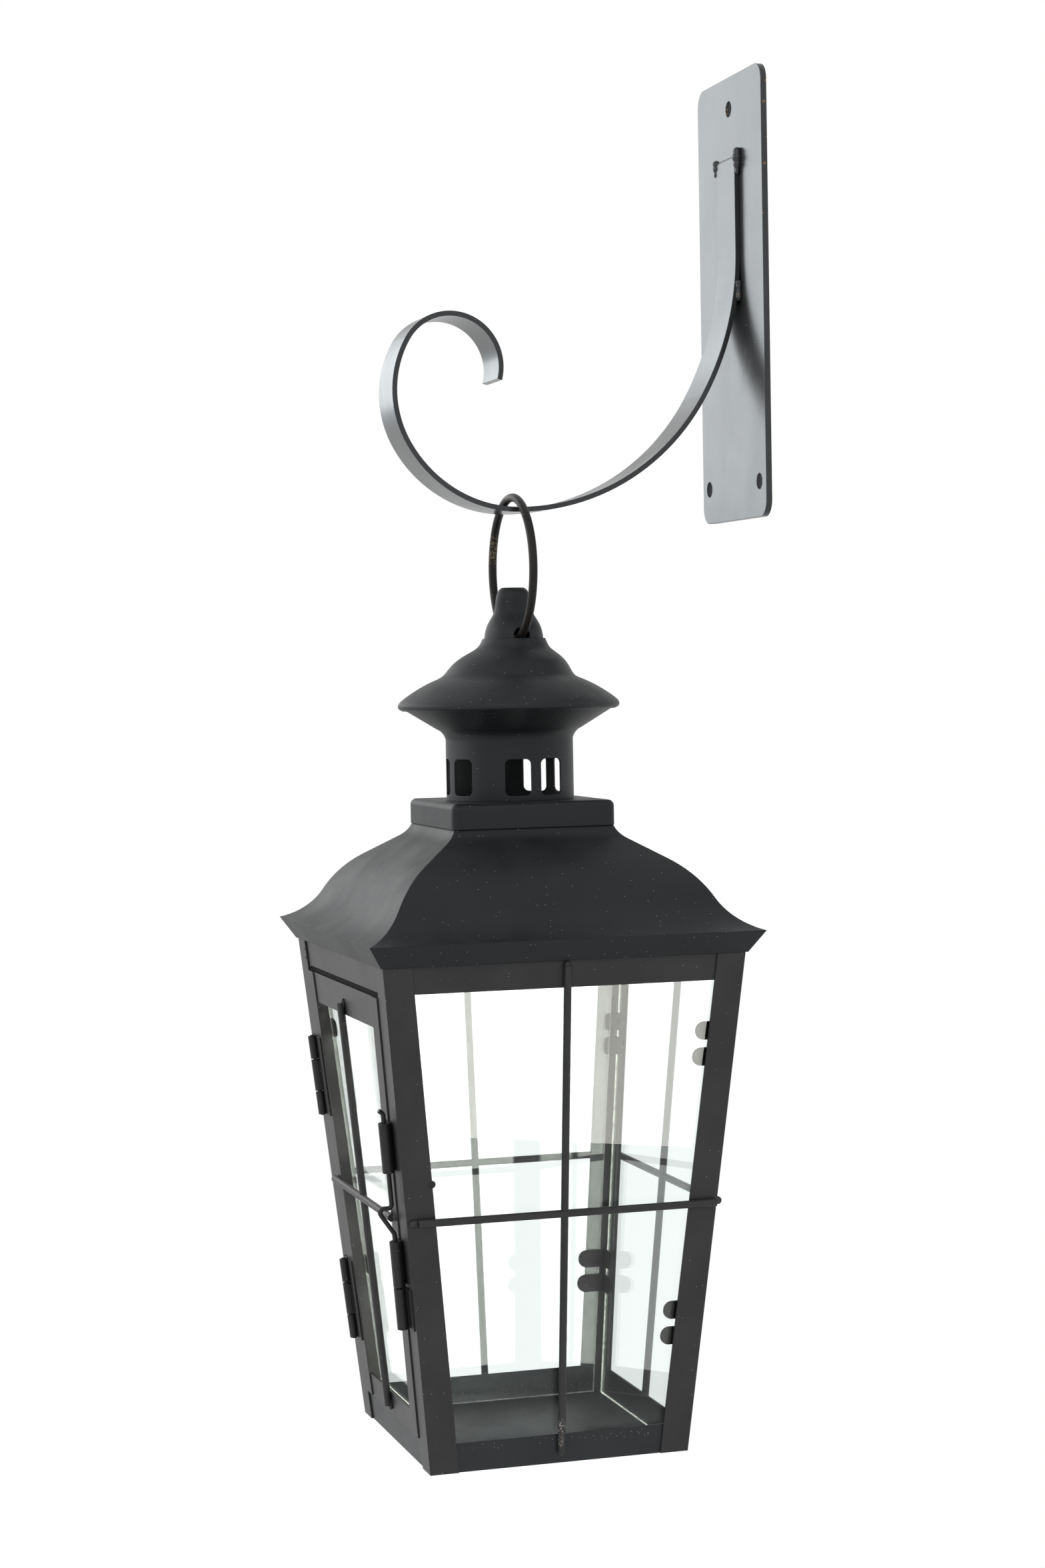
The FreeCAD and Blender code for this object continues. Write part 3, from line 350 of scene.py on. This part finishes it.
def close_edit(name, material, body):
    """Ends a piece: outward faces, its own place in its mesh, its paint and what it moves with."""
    open_edit()
    bpy.ops.mesh.normals_make_consistent(inside=False)
    bpy.ops.object.mode_set(mode="OBJECT")
    piece = bpy.context.object
    piece.name = name
    piece.data.name = name
    bpy.ops.object.transform_apply(location=True, rotation=True, scale=True)
    bpy.ops.object.shade_smooth_by_angle(angle=math.radians(40))
    piece.data.materials.clear()
    piece.data.materials.append(material)
    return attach(piece, body)


def modify(kind, **settings):
    """Adds a modifier to the piece at hand and applies it."""
    piece = bpy.context.object
    modifier = piece.modifiers.new(kind.lower(), kind)
    for name, setting in settings.items():
        setattr(modifier, name, setting)
    bpy.ops.object.modifier_apply(modifier=modifier.name)


def spun_sheet(rings, sides):
    """Sheet drawn ring by ring up an upright axis: each ring is a radius, a height and a centre's y."""
    radius, height, middle = rings[0]
    bpy.ops.object.select_all(action="DESELECT")
    bpy.ops.mesh.primitive_circle_add(vertices=sides, radius=radius, location=(0, middle, height))
    open_edit()
    for before, after in zip(rings, rings[1:]):
        shift = (0, after[2] - before[2], after[1] - before[1])
        bpy.ops.mesh.extrude_region_move(TRANSFORM_OT_translate={"value": shift})
        share = after[0] / before[0]
        bpy.ops.transform.resize(value=(share, share, 1), center_override=(0, after[2], after[1]))
    bpy.ops.object.mode_set(mode="OBJECT")


def lumps(balls, fineness, relax=4):
    """Runs of metal melted together: each ball is a place and its half widths."""
    bpy.ops.object.select_all(action="DESELECT")
    made = []
    for place, widths in balls:
        bpy.ops.mesh.primitive_uv_sphere_add(segments=16, ring_count=10, radius=1, location=place)
        bpy.context.object.scale = widths
        made.append(bpy.context.object)
    for ball in made:
        ball.select_set(True)
    bpy.context.view_layer.objects.active = made[0]
    bpy.ops.object.join()
    bpy.ops.object.transform_apply(location=True, rotation=True, scale=True)
    modify("REMESH", mode="VOXEL", voxel_size=fineness)
    modify("SMOOTH", factor=0.5, iterations=relax)


def cap_shell():
    """The spun cap: a hem over the chimney's rim, a rounded skirt, a hollow shoulder, a bell to the knob.

    Each point is a radius, a rise from the rim, and how far the ring has moved from the axis to the knob.
    """
    hem = [(43.2, -1.75, 0), (44.45, -1.25, 0), (44.8, -0.5, 0), (44.5, 0.4, 0), (43.4, 1.5, 0)]
    skirt = [(40.6, 3.6, 0), (36.5, 6.2, 0), (32.0, 8.6, 0), (28.6, 9.9, 0), (26.9, 10.8, 0)]
    shoulder = [(25.6, 12.2, 0.1), (24.2, 14.4, 0.2), (22.2, 17.0, 0.4), (19.4, 19.2, 0.6)]
    bell = [(16.6, 20.9, 0.8), (14.4, 22.4, 0.9), (13.2, 24.2, 1), (12.3, 26.4, 1)]
    rings = [(radius * MM, RIM_Z + rise * MM, AXIS_Y + moved * KNOB_SHIFT)
             for radius, rise, moved in hem + skirt + shoulder + bell]
    spun_sheet(rings, sides=64)
    modify("SUBSURF", levels=2, render_levels=2)
    modify("SOLIDIFY", thickness=0.6 * MM, offset=-1)
    cap = close_edit("cap_shell", roof_paint, "lantern")
    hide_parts("cap_dome")


def strip_welds():
    """Welds that hold the strip to the plate: runs down both corners, beads along the top and low runs.

    All in millimetres; a run's points are each a rise from the strip's top, a half width and a half height.
    """
    top, edge, face = STRIP_TOP.z / MM, STRIP_TOP.x / MM, -3.4
    fat_out, fat_run = 0.5, [(2.0, 1.9, 2.0), (-0.2, 2.3, 2.3), (-2.8, 1.8, 2.2), (-5.4, 1.1, 2.0)]
    thin_out, thin_proud, thin_run = 0.2, 0.6, [(0.6, 1.7, 1.5), (-1.4, 1.6, 1.8), (-3.8, 1.2, 1.6)]
    pitch, top_beads, top_rise, top_wide = 1.5, 15, 0.25, 1.05
    low_beads, low_out, low_face, low_start, low_tall = 5, 0.1, -3.3, 5.6, 1.3
    balls = []
    for rise, wide, tall in fat_run:
        balls.append(((edge + fat_out, face, top + rise), (wide, wide, tall)))
    for rise, wide, tall in thin_run:
        balls.append(((-edge - thin_out, face - thin_proud, top + rise), (wide, wide, tall)))
    for step in range(top_beads):
        swell = 0.75 + 0.12 * math.sin(2.3 * step)
        balls.append(((edge - pitch * step, face, top + top_rise), (top_wide, top_wide, swell)))
    for side in (-1, 1):
        for step in range(low_beads):
            swell = 1.5 + 0.25 * math.sin(1.9 * step + side)
            place = (side * (edge + low_out), low_face, low_start - pitch * step)
            balls.append((place, (swell, swell, low_tall)))
    lumps([(Vector(place) * MM, Vector(widths) * MM) for place, widths in balls], fineness=0.32 * MM)
    welds = close_edit("strip_welds", bracket_paint, "bracket")
    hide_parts("weld_beads")


def face_out(height, out=0.0):
    """How far the body's face is from its middle at a height above its foot, moved out by out."""
    return BASE_HALF + LEAN * height + out


def rod_solder(name, face, body, top, foot, reach):
    """Blobs of solder where the rods of one face cross and where they end; face is the way it looks.

    Each blob is a place along the face, a height, half widths and how far out it sits, those in millimetres.
    """
    spots = [(0, ROD_HEIGHT, (1.0, 1.9, 1.9), 1.6)]
    spots += [(side * reach, ROD_HEIGHT, (1.2, 2.2, 1.5), 0.7) for side in (-1, 1)]
    spots += [(0, height, (1.1, 1.6, 2.4), 0.5) for height in (top, foot)]
    balls = []
    for along, height, (deep, wide, tall), out in spots:
        away = face_out(height, out * MM)
        if face[0]:
            place, widths = (face[0] * away, AXIS_Y + along, BASE_Z + height), (deep, wide, tall)
        else:
            place, widths = (along, AXIS_Y + face[1] * away, BASE_Z + height), (wide, deep, tall)
        balls.append((place, Vector(widths) * MM))
    lumps(balls, fineness=0.3 * MM)
    close_edit(name, lantern_paint, body)


def solder_drops():
    """Two spot marks on the front rail, and one drop of solder on the front right post."""
    mark_heights, mark_inset, mark_sink = (0.1935, 0.1972), 10.2 * MM, 0.1 * MM
    drop_height, drop_inset, drop_sink = 0.1161, 11.5 * MM, 0.2 * MM
    mark_widths, drop_widths = Vector((0.75, 0.35, 0.9)) * MM, Vector((0.7, 1.5, 1.5)) * MM
    balls = [((-face_out(height, -mark_inset), AXIS_Y - face_out(height, -mark_sink), BASE_Z + height),
              mark_widths) for height in mark_heights]
    balls.append(((face_out(drop_height, -drop_sink), AXIS_Y - face_out(drop_height, -drop_inset),
                   BASE_Z + drop_height), drop_widths))
    lumps(balls, fineness=0.15 * MM, relax=2)
    close_edit("solder_drops", fitting_paint, "lantern")


def studio():
    """White surroundings and a pale floor well below."""
    world = bpy.data.worlds.new("studio")
    bpy.context.scene.world = world
    nodes = Nodes(world)
    around = nodes.blend(nodes.white_seen(), grey(AROUND_LEVEL), WHITE)
    backdrop = nodes.add("ShaderNodeBackground", sockets={"Color": around, "Strength": 1.0})
    nodes.add("ShaderNodeOutputWorld", sockets={"Surface": backdrop})

    bpy.ops.object.select_all(action="DESELECT")
    bpy.ops.mesh.primitive_plane_add(size=FLOOR_SIDE, location=(0, 0, cad_box[0].z - FLOOR_DROP))
    floor = bpy.context.object
    floor.name = "floor"
    pale = Finish("pale_floor")
    matte = pale.add("ShaderNodeBsdfDiffuse", sockets={"Color": grey(FLOOR_TONE)})
    white = pale.add("ShaderNodeEmission", sockets={"Color": WHITE, "Strength": 1.0})
    either = pale.add("ShaderNodeMixShader", sockets={0: pale.white_seen(), 1: matte, 2: white})
    pale.add("ShaderNodeOutputMaterial", sockets={"Surface": either})
    floor.data.materials.append(pale.material)


def lamp(name, place, target, size, radiance, tint=NEUTRAL, only=(), through=False):
    """A soft lamp; only names the pieces it is kept to, through lets it be seen through glass."""
    data = bpy.data.lights.new(name, "AREA")
    data.shape = "RECTANGLE"
    data.color = tint
    data.size, data.size_y = size
    data.energy = radiance * math.pi * data.size * data.size_y
    holder = bpy.data.objects.new(name, data)
    bpy.context.scene.collection.objects.link(holder)
    holder.location = place
    holder.rotation_euler = (Vector(target) - Vector(place)).to_track_quat("-Z", "Y").to_euler()
    holder.visible_camera = False
    holder.visible_transmission = through
    if only:
        lit = bpy.data.collections.new(f"{name}_lit")
        for node in only:
            lit.objects.link(NODES[node])
        holder.light_linking.receiver_collection = lit


def lamps():
    """Soft light on the whole object, and lamps for the panes and the bracket alone."""
    middle, body_middle = (0.0, -0.1, -0.25), (0.0, -0.1, -0.36)
    lamp("left_lamp", place=(-1.0, -2.2, 0.6), target=middle, size=(1.6, 1.6), radiance=2.4)
    lamp("front_lamp", place=(2.2, -1.0, 1.2), target=middle, size=(1.5, 1.5), radiance=1.2)
    lamp("back_lamp", place=(-2.4, -1.1, 0.6), target=middle, size=(1.5, 1.3), radiance=1.85)
    lamp("near_pane_lamp", place=(1.5, 0.37, -0.76), target=body_middle, size=(0.7, 0.24), radiance=19.0,
         tint=CREAM, only=["pane_right"])
    lamp("far_pane_lamp", place=(1.9, 0.45, -0.2), target=body_middle, size=(0.9, 0.9), radiance=17.0,
         tint=CREAM, only=["pane_left", "pane_back", "pane_right"], through=True)
    lamp("plate_lamp", place=(-2.4, -1.0, 0.45), target=middle, size=(1.5, 1.3), radiance=0.5,
         tint=SKY, only=["wall_plate", "scroll_arm"])


def camera():
    """The photograph's point of view: its lens, where it stands and how it is turned."""
    photo_tall, focal_pixels, sensor = 2352, 4471.17, 36.0
    stand = Vector((1.16628, -0.44857, -0.15084))
    azimuth, elevation, roll = (math.radians(angle) for angle in (73.22, 2.25, -1.03))
    back = Vector((math.sin(azimuth) * math.cos(elevation), -math.cos(azimuth) * math.cos(elevation),
                   math.sin(elevation)))
    right = (-back).cross(Vector((0, 0, 1))).normalized()
    up = right.cross(-back)
    turned = math.cos(roll) * right + math.sin(roll) * up
    upright = -math.sin(roll) * right + math.cos(roll) * up
    data = bpy.data.cameras.new("camera")
    data.sensor_width = sensor
    data.lens = sensor * focal_pixels / photo_tall
    data.clip_start = 0.05
    holder = bpy.data.objects.new("camera", data)
    bpy.context.scene.collection.objects.link(holder)
    turn = Matrix((turned, upright, back)).transposed().to_4x4()
    holder.matrix_world = Matrix.Translation(stand) @ turn
    bpy.context.scene.camera = holder


cap_shell()
strip_welds()
for side_name, face in (("left", (-1, 0)), ("right", (1, 0)), ("back", (0, 1))):
    rod_solder(f"{side_name}_rod_solder", face, "lantern", top=0.1985, foot=0.0055, reach=0.0605)
rod_solder("door_rod_solder", (0, -1), "door", top=0.1800, foot=0.0160, reach=0.0476)
solder_drops()
studio()
lamps()
camera()
bpy.context.scene.view_settings.view_transform = "Standard"
